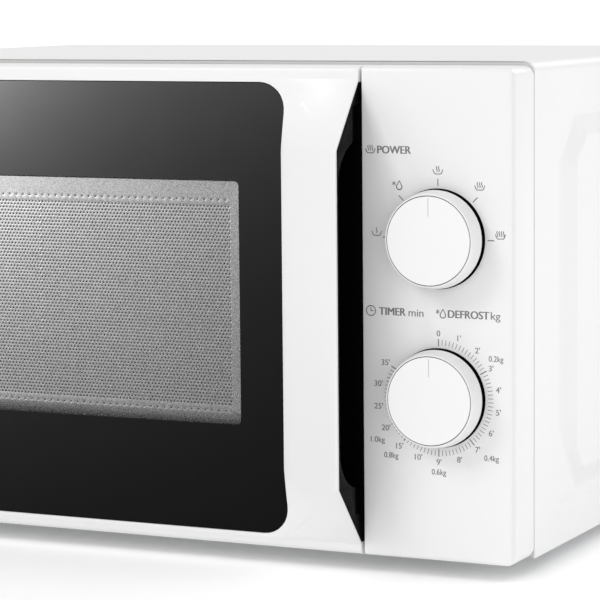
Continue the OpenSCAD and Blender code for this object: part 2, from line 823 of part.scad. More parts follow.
module ramp_section(t, floor_x, back_y) {
    polygon([
        [floor_x, ramp_y(floor_x, t)],
        [door_x1 + (t > 0 ? 1 : 0), ramp_y(door_x1 + (t > 0 ? 1 : 0), t)],
        [door_x1 + (t > 0 ? 1 : 0), back_y],
        [floor_x, back_y]]);
}

module ramp_side(inset, back_y) {
    polygon(rounded([
        [back_y, ramp_z0 + inset, 0],
        [front_y, ramp_z0 + inset, 0],
        [front_y - handle_proud, ridge_z0 + inset, 8],
        [front_y - handle_proud, ridge_z1 - inset, 8],
        [front_y, ramp_z1 - inset, 0],
        [back_y, ramp_z1 - inset, 0]]));
}

module ramp(t, floor_x, back_y) {
    intersection() {
        along_z(front_z0, front_z1) ramp_section(t, floor_x, back_y);
        along_x(floor_x - 1, door_x1 + (t > 0 ? 2 : 0)) ramp_side(t, back_y);
    }
}

insert_floor_x = door_x1 - scoop_depth - 1.6;

module handle_insert() {
    lip = 2.7;
    step_y = front_y - 7.5;
    color("#181818") difference() {
        intersection() {
            ramp(skin, insert_floor_x, front_y + 4.4);
            block([insert_floor_x, front_y - 40, 0], [door_x1, front_y + 5, front_z1]);
        }
        intersection() {
            along_z(front_z0, front_z1)
                ramp_section(lip, insert_floor_x + 1.6, front_y + 2.8);
            along_x(insert_floor_x, door_x1 + 2) polygon(rounded([
                [front_y + 2.8, front_z0 + 34, 1],
                [front_y - 26, front_z0 + 38, 24],
                [front_y - 26, front_z0 + 206, 24],
                [front_y + 2.8, front_z0 + 210, 1]]));
        }
        block([door_x1 - 1.5, step_y, front_z0 + 21.7], [door_x1 + 1, front_y + 2, front_z0 + 227]);
    }
}

module hollow_outline() {
    polygon(rounded([
        [door_x0 + wall, front_y + wall, 1],
        [door_x1 - wall, front_y + wall, 1],
        [door_x1 - wall, door_back_y + 1, 0],
        [door_x0 + 14, door_back_y + 1, 0],
        [door_x0 + 14, door_back_y - wall, 0],
        [door_x0 + wall, door_back_y - wall, 8]]));
}

module door_frame() {
    slot = 1.7;
    boss_r = 7.5;
    color("white") difference() {
        union() {
            difference() {
                union() {
                    panel_shape(door_x0, door_x1, 3, 11);
                    ramp(0, ramp_x0, front_y + 3);
                }
                along_z(front_z0 + wall, front_z1 - wall) hollow_outline();
                along_y(front_y - 1, front_y + 4)
                    polygon(rect(window_x0, window_z0, ramp_x0, window_z1, window_r));
                ramp(skin, insert_floor_x, front_y + 4.4);
            }
            rod_z(hinge_x, hinge_y, front_z0 + wall - 1, lower_arm_z - slot, boss_r);
            rod_z(hinge_x, hinge_y, upper_arm_z + slot, front_z1 - wall + 1, boss_r);
        }
        for (z = [lower_arm_z, upper_arm_z])
            block([door_x0 - 1, hinge_y - 9, z - slot], [hinge_x + 8, door_back_y + 1, z + slot]);
        rod_z(hinge_x, hinge_y, front_z0 + 4, front_z1 - 4, hinge_pin_r + running_gap);
    }
}

module window_bezel() {
    color("#101010") difference() {
        along_y(bezel_y0, film_y0)
            polygon(rect(window_x0, window_z0, ramp_x0, window_z1, window_r));
        along_y(bezel_y0 - 1, film_y0 + 1) polygon(rect(view_x0, view_z0, view_x1, view_z1, 3));
    }
}

module window_film() {
    color("lightcyan") along_y(film_y0, film_y0 + 0.4)
        polygon(rect(view_x0 - 6, view_z0 - 6, view_x1 + 6, view_z1 + 6, 3));
}

module rim(grow) {
    polygon(rect(choke_x0 + grow, front_z0 + 8 + grow, choke_x1 - grow, front_z1 - 8 - grow, 3));
}

module door_plate() {
    fold_w = 20;
    color("silver") {
        along_y(plate_y0, plate_y0 + 0.8)
            polygon(rect(choke_x0, front_z0 + 3, door_x1 - wall - 0.2, front_z1 - 3, 3));
        along_y(film_y0 + 0.5, plate_y0 + 0.4)
            polygon(rect(view_x0 - 2, view_z0 - 2, view_x1 + 2, view_z1 + 2, 3));
        for (grow = [0, fold_w]) along_y(plate_y0 + 0.4, cover_y0) difference() {
            rim(grow);
            rim(grow + 0.8);
        }
    }
}

module choke_cover() {
    color("#303030") difference() {
        along_y(cover_y0, door_back_y)
            polygon(rect(choke_x0 - 2, front_z0 + wall, door_x1 - wall, front_z1 - wall, 3));
        along_y(cover_y0 - 1, door_back_y + 1)
            polygon(rect(view_x0 - 4, view_z0 - 12, view_x1 + 4, view_z1 + 12, 5));
        for (z = hook_z)
            block([hook_x - 1.5, cover_y0 - 1, z - 5],
                [hook_x + hook_w + 1.5, door_back_y + 1, z + hook_h + latch_lift + 1]);
    }
}

module door_latch() {
    color("whitesmoke") {
        block([hook_x - 3, plate_y0 + 5, hook_z[0] - 10],
            [hook_x + hook_w + 1, plate_y0 + 10, hook_z[1] + 10]);
        for (z = hook_z) along_x(hook_x, hook_x + hook_w) polygon([
            [plate_y0 + 8, z - 1],
            [hook_tip_y - 14, z - 1],
            [hook_tip_y - 14, z - 3.5],
            [hook_tip_y - 8, z - 3.5],
            [hook_tip_y, z + 1],
            [hook_tip_y, z + hook_h],
            [plate_y0 + 8, z + hook_h]]);
    }
}

// A helix swept round with a many-sided wire.
module helix(z0, z1, turns, r, wire_r) {
    sides = 6;
    steps = 14 * turns;
    points = [for (i = [0:steps], k = [0:sides - 1])
        let (turn = 360 * turns * i / steps, side = 360 * k / sides, reach = r + wire_r * cos(side))
        [reach * cos(turn), reach * sin(turn), z0 + (z1 - z0) * i / steps + wire_r * sin(side)]];
    skin_faces = [for (i = [0:steps - 1], k = [0:sides - 1])
        let (next = (k + 1) % sides)
        [i * sides + k, i * sides + next, (i + 1) * sides + next, (i + 1) * sides + k]];
    polyhedron(points, concat(skin_faces,
        [[for (k = [sides - 1 : -1 : 0]) k], [for (k = [0:sides - 1]) steps * sides + k]]));
}

module latch_spring() {
    wire_r = 0.5;
    color("silver") translate([hook_x + 1, plate_y0 + 7.5, 0])
        helix(hook_z[1] + 10 + wire_r, front_z1 - wall - wire_r, 9, 3.2, wire_r);
}

outer_case();
rear_panel();
base_plate();
feet();
case_screws();
cord_inlet_bush();
oven_cavity();
front_frame();
waveguide();
waveguide_cover();
lamp_holder();
oven_lamp();
magnetron_yoke();
magnetron_fins();
magnetron_anode();
magnetron_magnets();
magnetron_filter_box();
transformer_core();
primary_winding();
secondary_winding();
hv_capacitor();
capacitor_clamp();
hv_diode();
fan_shroud();
fan_stator();
fan_coil();
fan_bearing_bracket();
fan_rotor();
fan_blade();
air_duct();
filter_board();
mains_fuse();
turntable_motor();
turntable_shaft();
turntable_coupler();
glass_tray();
roller_ring();
roller(0);  // roller_1
roller(1);  // roller_2
roller(2);  // roller_3
latch_bracket();
microswitches();
plunger(hook_z[1]);  // upper_plunger
plunger(hook_z[0]);  // lower_plunger
control_panel();
timer_unit();
power_switch_unit();
dial_shaft(timer_z);  // timer_shaft
dial_shaft(power_z);  // power_shaft
dial(timer_z);  // timer_dial
dial(power_z);  // power_dial
hinges();
door_frame();
window_bezel();
window_film();
door_plate();
choke_cover();
handle_insert();
door_latch();
latch_spring();
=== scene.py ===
"""A countertop microwave oven with two dials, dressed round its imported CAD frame."""
import json
import math

import bmesh
import bpy
from mathutils import Matrix, Vector

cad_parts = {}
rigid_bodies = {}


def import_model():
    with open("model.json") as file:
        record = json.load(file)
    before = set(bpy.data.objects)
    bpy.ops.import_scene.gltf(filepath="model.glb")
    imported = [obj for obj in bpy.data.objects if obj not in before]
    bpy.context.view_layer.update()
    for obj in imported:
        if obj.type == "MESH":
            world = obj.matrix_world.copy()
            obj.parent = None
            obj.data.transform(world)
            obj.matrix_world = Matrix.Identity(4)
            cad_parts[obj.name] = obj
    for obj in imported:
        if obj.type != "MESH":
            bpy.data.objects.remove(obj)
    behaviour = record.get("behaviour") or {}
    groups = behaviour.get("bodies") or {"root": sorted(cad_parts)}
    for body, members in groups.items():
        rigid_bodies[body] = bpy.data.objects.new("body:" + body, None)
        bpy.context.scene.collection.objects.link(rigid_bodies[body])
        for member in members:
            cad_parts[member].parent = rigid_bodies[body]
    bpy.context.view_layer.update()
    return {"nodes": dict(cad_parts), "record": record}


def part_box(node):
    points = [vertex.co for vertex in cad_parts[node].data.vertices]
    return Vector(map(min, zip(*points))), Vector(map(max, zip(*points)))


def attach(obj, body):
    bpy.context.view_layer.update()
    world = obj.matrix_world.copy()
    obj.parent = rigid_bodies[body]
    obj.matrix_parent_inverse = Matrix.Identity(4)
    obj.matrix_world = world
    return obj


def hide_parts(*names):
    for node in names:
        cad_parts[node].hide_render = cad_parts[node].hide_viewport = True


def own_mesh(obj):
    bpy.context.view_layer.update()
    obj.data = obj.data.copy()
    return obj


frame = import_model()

MM = 0.001

# Boxes and places read from the frame, in metres.
PANEL_LOW, PANEL_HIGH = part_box("control_panel")
BEZEL_LOW, BEZEL_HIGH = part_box("window_bezel")
FILM_LOW, FILM_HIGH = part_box("window_film")
DOOR_LOW, DOOR_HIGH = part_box("door_frame")
CASE_LOW, CASE_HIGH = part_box("outer_case")
TIMER_LOW, TIMER_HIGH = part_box("timer_dial")
POWER_LOW, POWER_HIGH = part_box("power_dial")
FACE_Y = PANEL_LOW.y
DIAL_X = (TIMER_LOW.x + TIMER_HIGH.x) / 2
TIMER_Z = (TIMER_LOW.z + TIMER_HIGH.z) / 2
POWER_Z = (POWER_LOW.z + POWER_HIGH.z) / 2

# The clear part of the window: the film less what the black bezel covers of it.
FILM_OVERLAP = 6 * MM
VIEW_LOW = FILM_LOW + Vector((FILM_OVERLAP, 0, FILM_OVERLAP))
VIEW_HIGH = FILM_HIGH - Vector((FILM_OVERLAP, 0, FILM_OVERLAP))


# ---------------------------------------------------------------- materials

SLOW_SCALE = 14.0    # noise scale of slow colour changes, about 7 cm across
BAND_SCALE = 0.314   # wave scale that gives one band to the metre
BAND_HEIGHT = 0.3 * MM


def new_material(name, base, roughness, metallic=0.0, specular=0.5):
    """A material with a principled shader; returns it with its node tree and shader."""
    material = bpy.data.materials.new(name)
    material.use_nodes = True
    tree = material.node_tree
    shader = tree.nodes["Principled BSDF"]
    shader.inputs["Base Color"].default_value = (*base, 1)
    shader.inputs["Roughness"].default_value = roughness
    shader.inputs["Metallic"].default_value = metallic
    shader.inputs["Specular IOR Level"].default_value = specular
    return material, tree, shader


def noise(tree, scale, detail, stretch=(1, 1, 1)):
    """A noise in object space, stretched along the axes; returns its value socket."""
    place = tree.nodes.new("ShaderNodeTexCoord")
    mapping = tree.nodes.new("ShaderNodeMapping")
    mapping.inputs["Scale"].default_value = stretch
    texture = tree.nodes.new("ShaderNodeTexNoise")
    texture.inputs["Scale"].default_value = scale
    texture.inputs["Detail"].default_value = detail
    tree.links.new(place.outputs["Object"], mapping.inputs["Vector"])
    tree.links.new(mapping.outputs["Vector"], texture.inputs["Vector"])
    return texture.outputs["Fac"]


def spread(tree, value, low, high):
    """Maps the middle of a noise's range onto low to high."""
    node = tree.nodes.new("ShaderNodeMapRange")
    limits = {"From Min": 0.3, "From Max": 0.7, "To Min": low, "To Max": high}
    for socket, number in limits.items():
        node.inputs[socket].default_value = number
    tree.links.new(value, node.inputs["Value"])
    return node.outputs["Result"]


def tint(tree, shader, value, dark, light):
    """Colours the shader between two colours by a value."""
    mix = tree.nodes.new("ShaderNodeMix")
    mix.data_type = "RGBA"
    factor, colours = mix.inputs[0], [socket for socket in mix.inputs if socket.type == "RGBA"]
    colours[0].default_value = (*dark, 1)
    colours[1].default_value = (*light, 1)
    result = next(socket for socket in mix.outputs if socket.type == "RGBA")
    tree.links.new(value, factor)
    tree.links.new(result, shader.inputs["Base Color"])


def relief(tree, shader, value, height):
    """Adds a bump of the given height in metres."""
    bump = tree.nodes.new("ShaderNodeBump")
    bump.inputs["Distance"].default_value = height
    tree.links.new(value, bump.inputs["Height"])
    tree.links.new(bump.outputs["Normal"], shader.inputs["Normal"])


def shaded(base, change):
    """A colour made lighter or darker by a share."""
    return tuple(min(1.0, c * (1 + change)) for c in base)


def surface(name, base, roughness, metallic=0.0, specular=0.5, grain=900.0, height=0.00002,
            variation=0.04, rough_spread=0.06, stretch=(1, 1, 1)):
    """A material with fine grain, slow colour variation and uneven gloss; height is in metres."""
    material, tree, shader = new_material(name, base, roughness, metallic, specular)
    slow = noise(tree, SLOW_SCALE, 3.0)
    tint(tree, shader, spread(tree, slow, 0, 1), shaded(base, -variation), shaded(base, variation))
    fine = noise(tree, grain, 3.0, stretch)
    tree.links.new(spread(tree, fine, roughness - rough_spread, roughness + rough_spread),
                   shader.inputs["Roughness"])
    relief(tree, shader, fine, height)
    return material


def banded(name, dark, light, pitch, roughness, metallic, axis="Z"):
    """Wire turns or stacked sheets: fine bands across one axis."""
    material, tree, shader = new_material(name, light, roughness, metallic)
    place = tree.nodes.new("ShaderNodeTexCoord")
    wave = tree.nodes.new("ShaderNodeTexWave")
    wave.bands_direction = axis
    wave.inputs["Scale"].default_value = BAND_SCALE / pitch
    wave.inputs["Distortion"].default_value = 0.4
    wave.inputs["Detail Scale"].default_value = 4.0
    tree.links.new(place.outputs["Object"], wave.inputs["Vector"])
    tint(tree, shader, wave.outputs["Fac"], dark, light)
    relief(tree, shader, wave.outputs["Fac"], BAND_HEIGHT)
    return material


def clear(name, base, roughness, alpha):
    """Clear glass or film that shows what is behind it."""
    material, tree, shader = new_material(name, base, roughness)
    shader.inputs["Alpha"].default_value = alpha
    fine = noise(tree, 40.0, 2.0)
    tree.links.new(spread(tree, fine, roughness, roughness + 0.05), shader.inputs["Roughness"])
    return material


WHITE = (0.77, 0.77, 0.77)
MATERIALS = {
    "white_paint": surface("white_enamel", WHITE, 0.38, grain=260, height=0.000006, variation=0.006),
    "white_plastic": surface("white_moulding", WHITE, 0.42, grain=1500, height=0.000006,
                             variation=0.006),
    "dial_plastic": surface("dial_moulding", (0.78, 0.78, 0.78), 0.34, grain=1800,
                            height=0.000004, variation=0.005),
    "black_gloss": surface("window_black", (0.0002, 0.0002, 0.0002), 0.19, specular=0.05, grain=60,
                           height=0.0000005, variation=0.1, rough_spread=0.002),
    "handle_black": surface("handle_black", (0.001, 0.001, 0.001), 0.4, specular=0.05, grain=1400,
                            height=0.00001, variation=0.1),
    "door_mesh": surface("mesh_enamel", (0.072, 0.072, 0.072), 0.29, metallic=0.9, grain=1200,
                         height=0.000006, variation=0.04),
    "clear_film": clear("clear_film", (0.9, 0.9, 0.9), 0.05, 0.03),
    "galvanised": surface("zinc_sheet", (0.62, 0.63, 0.64), 0.34, metallic=0.9, grain=120,
                          height=0.000006, variation=0.08, rough_spread=0.1),
    "cavity_paint": surface("cavity_enamel", (0.66, 0.66, 0.65), 0.32, grain=300,
                            height=0.000008, variation=0.02),
    "foot_rubber": surface("foot_rubber", (0.035, 0.035, 0.035), 0.75, grain=1600,
                           height=0.00003, variation=0.2),
    "screw_steel": surface("plated_steel", (0.66, 0.66, 0.66), 0.25, metallic=1.0, grain=800),
    "black_plastic": surface("black_moulding", (0.02, 0.02, 0.021), 0.5, grain=1500,
                             height=0.00002, variation=0.15),
    "mica": surface("mica_board", (0.55, 0.49, 0.38), 0.6, grain=500, height=0.00004,
                    variation=0.12, stretch=(1, 3, 1)),
    "white_nylon": surface("nylon", (0.72, 0.72, 0.69), 0.5, grain=1200, variation=0.02),
    "lamp_glass": clear("lamp_glass", (0.98, 0.94, 0.82), 0.03, 0.5),
    "fin_aluminium": surface("mill_aluminium", (0.75, 0.76, 0.77), 0.3, metallic=1.0, grain=500,
                             stretch=(1, 1, 12), variation=0.05),
    "copper": banded("enamelled_wire", (0.16, 0.05, 0.02), (0.62, 0.26, 0.11), 0.0008, 0.35, 0.7),
    "magnet_ferrite": surface("ferrite", (0.05, 0.05, 0.055), 0.6, grain=900, variation=0.15),
    "core_iron": banded("core_laminations", (0.07, 0.075, 0.08), (0.22, 0.23, 0.24), 0.0006,
                        0.5, 0.6, "X"),
    "black_component": surface("black_component", (0.03, 0.03, 0.03), 0.45, grain=900,
                               variation=0.2),
    "circuit_board": surface("circuit_board", (0.03, 0.16, 0.06), 0.4, grain=400,
                             height=0.00003, variation=0.25),
    "fuse_glass": clear("fuse_glass", (0.9, 0.95, 0.95), 0.03, 0.45),
    "shaft_steel": surface("turned_steel", (0.56, 0.56, 0.57), 0.28, metallic=1.0, grain=900,
                           stretch=(1, 1, 8), variation=0.05),
    "tray_glass": clear("tray_glass", (0.88, 0.96, 0.95), 0.04, 0.28),
    "plunger_red": surface("plunger_red", (0.45, 0.03, 0.02), 0.45, grain=900),
    "switch_housing": surface("switch_housing", (0.42, 0.4, 0.33), 0.5, grain=900),
}
# Grey for the dials' pointer line: painted shade standing in for the shade of an engraved groove.
POINTER_SHADE = surface("pointer_groove_shade", (0.5, 0.5, 0.5), 0.5, grain=1500, height=0.000002)
PRINT = surface("print_grey", (0.16, 0.16, 0.165), 0.6, grain=1500, height=0.000002, variation=0.05)


def set_material(piece, material):
    """Gives the whole piece one material."""
    piece.data.materials.clear()
    piece.data.materials.append(material)


def dress_nodes():
    """Every CAD node takes the material of its slot."""
    slots = {row["node"]: row["material_slot"] for row in frame["record"]["subparts"]}
    for name, node in frame["nodes"].items():
        for place in range(len(node.material_slots)):
            node.material_slots[place].material = MATERIALS[slots[name]]
    return slots


SLOTS = dress_nodes()
BODY_OF = {node: body for body, nodes in frame["record"]["behaviour"]["bodies"].items()
           for node in nodes}


# ---------------------------------------------------------------- making pieces

SOFT_ANGLE = 50   # degrees between faces up to which a softened moulding is shaded smooth


def add_piece(name, mesh, body, slot, *nodes):
    """Puts a mesh in the scene as a piece on a body, in a material slot, for some nodes."""
    piece = bpy.data.objects.new(name, mesh)
    bpy.context.collection.objects.link(piece)
    set_material(piece, MATERIALS[slot])
    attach(piece, body)
    if nodes:
        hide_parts(*nodes)
    return piece


def to_mesh(name, shape, smooth_angle=40):
    """Turns a bmesh into a mesh, smooth except over sharp edges."""
    bmesh.ops.recalc_face_normals(shape, faces=shape.faces)
    limit = math.radians(smooth_angle)
    for face in shape.faces:
        face.smooth = True
    for edge in shape.edges:
        edge.smooth = len(edge.link_faces) == 2 and edge.calc_face_angle() < limit
    mesh = bpy.data.meshes.new(name)
    shape.to_mesh(mesh)
    shape.free()
    return mesh


def node_shape(node):
    """A node's own solid as a clean bmesh, its flat faces whole again."""
    same_point, flat = 0.005 * MM, math.radians(0.5)
    shape = bmesh.new()
    shape.from_mesh(frame["nodes"][node].data)
    bmesh.ops.remove_doubles(shape, verts=shape.verts, dist=same_point)
    bmesh.ops.dissolve_limit(shape, angle_limit=flat, verts=shape.verts, edges=shape.edges)
    return shape


def soften_edges(shape, width):
    """Rounds every sharp edge of a bmesh."""
    least = math.radians(35)
    sharp = [e for e in shape.edges if len(e.link_faces) == 2 and e.calc_face_angle() > least]
    bmesh.ops.bevel(shape, geom=sharp, offset=width, offset_type="OFFSET", segments=3,
                    profile=0.5, affect="EDGES", clamp_overlap=True)


def softened(name, node, width, finish=None):
    """Stands in for a node: the same solid with its edges rounded and, if given, a finish."""
    shape = node_shape(node)
    soften_edges(shape, width)
    if finish:
        finish(shape)
    return add_piece(name, to_mesh(name, shape, SOFT_ANGLE), BODY_OF[node], SLOTS[node], node)


# ---------------------------------------------------------------- the view

LIT_HEIGHT = 130 * MM   # the lights aim at the middle of the front
LIGHT_DISTANCE = 2.6    # metres from there to each light


def add_camera():
    """A long lens at the right of the oven, a little above its middle."""
    focal, sensor, distance = 169.4, 36.0, 1.426
    yaw, pitch, roll = (math.radians(angle) for angle in (25.44, 6.45, 0.53))
    aim_left, aim_up = 75.6 * MM, 45.8 * MM
    aim = Vector((DIAL_X - aim_left, FACE_Y, TIMER_Z + aim_up))
    along = Vector((-math.sin(yaw) * math.cos(pitch), math.cos(yaw) * math.cos(pitch),
                    -math.sin(pitch)))
    data = bpy.data.cameras.new("camera")
    data.lens = focal
    data.sensor_width = sensor
    camera = bpy.data.objects.new("camera", data)
    bpy.context.collection.objects.link(camera)
    camera.location = aim - along * distance
    turn = along.to_track_quat("-Z", "Y").to_matrix() @ Matrix.Rotation(-roll, 3, "Z")
    camera.rotation_euler = turn.to_euler()
    bpy.context.scene.camera = camera


def add_light(name, towards, power, only=None, blockers=None, spread_deg=50, size=None):
    """A soft light that shines on the oven from a direction (azimuth, elevation) in degrees.

    Azimuth 0 is straight in front and grows to the left. With a size, the light is a rectangle
    that wide and high; without one it is a sun with a spread. A light may shine on some pieces
    only, and some pieces only may cast its shadows.
    """
    azimuth, elevation = (math.radians(angle) for angle in towards)
    out = Vector((-math.sin(azimuth) * math.cos(elevation), -math.cos(azimuth) * math.cos(elevation),
                  math.sin(elevation)))
    data = bpy.data.lights.new(name, "AREA" if size else "SUN")
    data.energy = power
    if size:
        data.shape = "RECTANGLE"
        data.size, data.size_y = size
    else:
        data.angle = math.radians(spread_deg)
    light = bpy.data.objects.new(name, data)
    bpy.context.collection.objects.link(light)
    light.location = Vector((0, FACE_Y, LIT_HEIGHT)) + out * LIGHT_DISTANCE
    light.rotation_euler = (-out).to_track_quat("-Z", "Y").to_euler()
    for role, pieces in (("receiver", only), ("blocker", blockers)):
        if pieces:
            group = bpy.data.collections.new(f"{name}_{role}s")
            for piece in pieces:
                group.objects.link(piece)
            setattr(light.light_linking, f"{role}_collection", group)


def add_studio():
    """A pale floor, a white surround and soft lights."""
    world = bpy.data.worlds.new("surround")
    bpy.context.scene.world = world
    world.use_nodes = True
    background = world.node_tree.nodes["Background"]
    background.inputs["Color"].default_value = (1, 1, 1, 1)
    background.inputs["Strength"].default_value = 0.76
    floor_size = 300
    bpy.ops.mesh.primitive_plane_add(size=floor_size)
    floor = bpy.context.object
    floor.name = "floor"
    material, tree, shader = new_material("floor_white", (0.96, 0.96, 0.96), 0.7, specular=0.1)
    slow = noise(tree, 3.0, 2.0)
    tint(tree, shader, slow, (0.955, 0.955, 0.955), (0.965, 0.965, 0.965))
    set_material(floor, material)
    add_light("key_light", (42, 40), 0.95, spread_deg=22)
    add_light("side_light", (-50, 28), 0.25)
    add_light("rear_light", (-155, 30), 0.9, spread_deg=20)
    add_light("floor_fill", (0, 90), 0.6, [floor], blockers=[floor])
    bpy.context.scene.view_settings.view_transform = "Standard"


add_camera()
add_studio()


# ---------------------------------------------------------------- outlines and rings

def rounded(points, steps=6):
    """A closed outline through corners given as (x, z, radius)."""
    outline = []
    count = len(points)
    for k, (x, z, radius) in enumerate(points):
        at = Vector((x, z))
        before = (Vector(points[k - 1][:2]) - at).normalized()
        after = (Vector(points[(k + 1) % count][:2]) - at).normalized()
        half = before.angle(after) / 2
        centre = at + (before + after).normalized() * radius / math.sin(half)
        first = at + before * radius / math.tan(half) - centre
        last = at + after * radius / math.tan(half) - centre
        start = math.atan2(first.y, first.x)
        turn = math.remainder(math.atan2(last.y, last.x) - start, 2 * math.pi)
        for i in range(steps + 1):
            angle = start + turn * i / steps
            outline.append((centre.x + radius * math.cos(angle), centre.y + radius * math.sin(angle)))
    return outline


def box_outline(low_x, low_z, high_x, high_z, radius, steps=6):
    """A rounded rectangle's outline."""
    return rounded([(low_x, low_z, radius), (high_x, low_z, radius), (high_x, high_z, radius),
                    (low_x, high_z, radius)], steps)


def ring_of(shape, outline, y):
    """The points of an outline, made in a shape at a depth."""
    return [shape.verts.new((x, y, z)) for x, z in outline]


def skin(shape, first, second):
    """Joins two rings of matching points with a band of faces."""
    for k in range(len(first)):
        m = (k + 1) % len(first)
        shape.faces.new((first[k], first[m], second[m], second[k]))


def lofted(name, sections):
    """A ring-shaped solid skinned over matching outlines, each given as (y, outline)."""
    shape = bmesh.new()
    rings = [ring_of(shape, outline, y) for y, outline in sections]
    for first, second in zip(rings, rings[1:] + rings[:1]):
        skin(shape, first, second)
    return to_mesh(name, shape)


def add_prism(shape, outline, low_y, high_y):
    """Adds a closed solid of one outline between two depths to a shape."""
    front, back = (ring_of(shape, outline, y) for y in (low_y, high_y))
    shape.faces.new(front)
    shape.faces.new(back[::-1])
    skin(shape, front, back)


def prism(name, outline, low_y, high_y):
    """A closed solid of one outline between two depths, as a mesh."""
    shape = bmesh.new()
    add_prism(shape, outline, low_y, high_y)
    return to_mesh(name, shape)


def cut(mesh, cutter):
    """One closed mesh less another."""
    pieces = [bpy.data.objects.new("cut", data) for data in (mesh, cutter)]
    for piece in pieces:
        bpy.context.collection.objects.link(piece)
    boolean = pieces[0].modifiers.new("cut", "BOOLEAN")
    boolean.operation = "DIFFERENCE"
    boolean.solver = "EXACT"
    boolean.object = pieces[1]
    bpy.context.view_layer.update()
    graph = bpy.context.evaluated_depsgraph_get()
    result = bpy.data.meshes.new_from_object(pieces[0].evaluated_get(graph))
    for piece in pieces:
        bpy.data.objects.remove(piece)
    return result


# ---------------------------------------------------------------- window and perforated plate

# The perforated field: hexagonal cells in rows, each with a hole whose rim is pressed in a little.
HOLE_PITCH = 2.0 * MM
ROW_PITCH = HOLE_PITCH * math.sqrt(3) / 2
CELL_R = HOLE_PITCH / math.sqrt(3)
HOLE_R = 0.52 * MM
HOLE_SINK = 0.04 * MM
FIELD_ROWS = 64
FIELD_T = 0.5 * MM

# The plate round it: its border lies a step behind the field, and the slope between them is a lip,
# narrow at the sides and the top and wider below.
PLATE_T = 0.8 * MM
PLATE_STEP = 1.5 * MM
LIP_X, LIP_Z = 0.8 * MM, 2.75 * MM
OPEN_R = 3 * MM

# The window: its gap in the moulding, its corners, and how its right side flares out to them.
WINDOW_GAP = 0.15 * MM
WINDOW_R = 14 * MM
FLARE, FLARE_Z, FLARE_R = 4.0 * MM, 34 * MM, 30 * MM


def window_outline(inset):
    """The black window's outline: its right corners flare out past the straight middle."""
    left, right = BEZEL_LOW.x + inset, BEZEL_HIGH.x - inset
    low, high = BEZEL_LOW.z + inset, BEZEL_HIGH.z - inset
    return rounded([(left, low, WINDOW_R), (right + FLARE, low, WINDOW_R),
                    (right, low + FLARE_Z, FLARE_R), (right, high - FLARE_Z, FLARE_R),
                    (right + FLARE, high, WINDOW_R), (left, high, WINDOW_R)], steps=8)


def view_outline(inset, steps=12):
    """The clear part of the window, which shows the plate and its lower lip."""
    return box_outline(VIEW_LOW.x + inset, VIEW_LOW.z - LIP_Z + inset, VIEW_HIGH.x - inset,
                       VIEW_HIGH.z - inset, OPEN_R, steps)


def make_window():
    """The glossy black window: a ring of the flared outline round the clear part."""
    chamfer, front, back = 0.3 * MM, BEZEL_LOW.y, BEZEL_HIGH.y
    outer = window_outline(WINDOW_GAP)
    shape = bmesh.new()
    rings = [ring_of(shape, window_outline(WINDOW_GAP + chamfer), front),
             ring_of(shape, outer, front + chamfer), ring_of(shape, outer, back)]
    holes = [ring_of(shape, view_outline(0), y) for y in (front, back)]
    for first, second in (*zip(rings, rings[1:]), holes):
        skin(shape, first, second)
    for outline, hole in ((rings[0], holes[0]), (rings[-1], holes[-1])):
        edges = [shape.edges.get((ring[k - 1], ring[k])) for ring in (outline, hole)
                 for k in range(len(ring))]
        bmesh.ops.triangle_fill(shape, use_beauty=True, edges=edges)
    mesh = to_mesh("window_glass", shape, smooth_angle=25)
    return add_piece("window_glass", mesh, "door", "black_gloss", "window_bezel")


def hexagon(x, z, radius):
    """An upright hexagon's corners round a place."""
    turns = [math.radians(60 * (k + 0.5)) for k in range(6)]
    return [(x + radius * math.cos(t), z + radius * math.sin(t)) for t in turns]


def add_cell(shape, x, z, front_y, with_hole):
    """Adds one hexagonal cell of a perforated sheet, with or without its hole."""
    front, back = (ring_of(shape, hexagon(x, z, CELL_R), y) for y in (front_y, front_y + FIELD_T))
    if not with_hole:
        shape.faces.new(front)
        shape.faces.new(back[::-1])
        return
    front_y += HOLE_SINK
    front_in, back_in = (ring_of(shape, hexagon(x, z, HOLE_R), y)
                         for y in (front_y, front_y + FIELD_T))
    for first, second in ((front, front_in), (back_in, back), (front_in, back_in)):
        skin(shape, first, second)


def perforated_field(name, low_x, columns, low_z, front_y):
    """A sheet of hexagonal cells: all with a hole, but for a gap and a sparse row at each end."""
    same_point, smooth_angle = 0.02 * MM, 15
    shape = bmesh.new()
    for row in range(FIELD_ROWS):
        from_end = min(row, FIELD_ROWS - 1 - row)
        shift = HOLE_PITCH * (0.25 + 0.5 * (row % 2))
        for column in range(columns):
            with_hole = from_end > 1 or (from_end == 0 and column % 2 == 0)
            add_cell(shape, low_x + column * HOLE_PITCH + shift, low_z + (row + 0.5) * ROW_PITCH,
                     front_y, with_hole)
    bmesh.ops.remove_doubles(shape, verts=shape.verts, dist=same_point)
    return to_mesh(name, shape, smooth_angle)


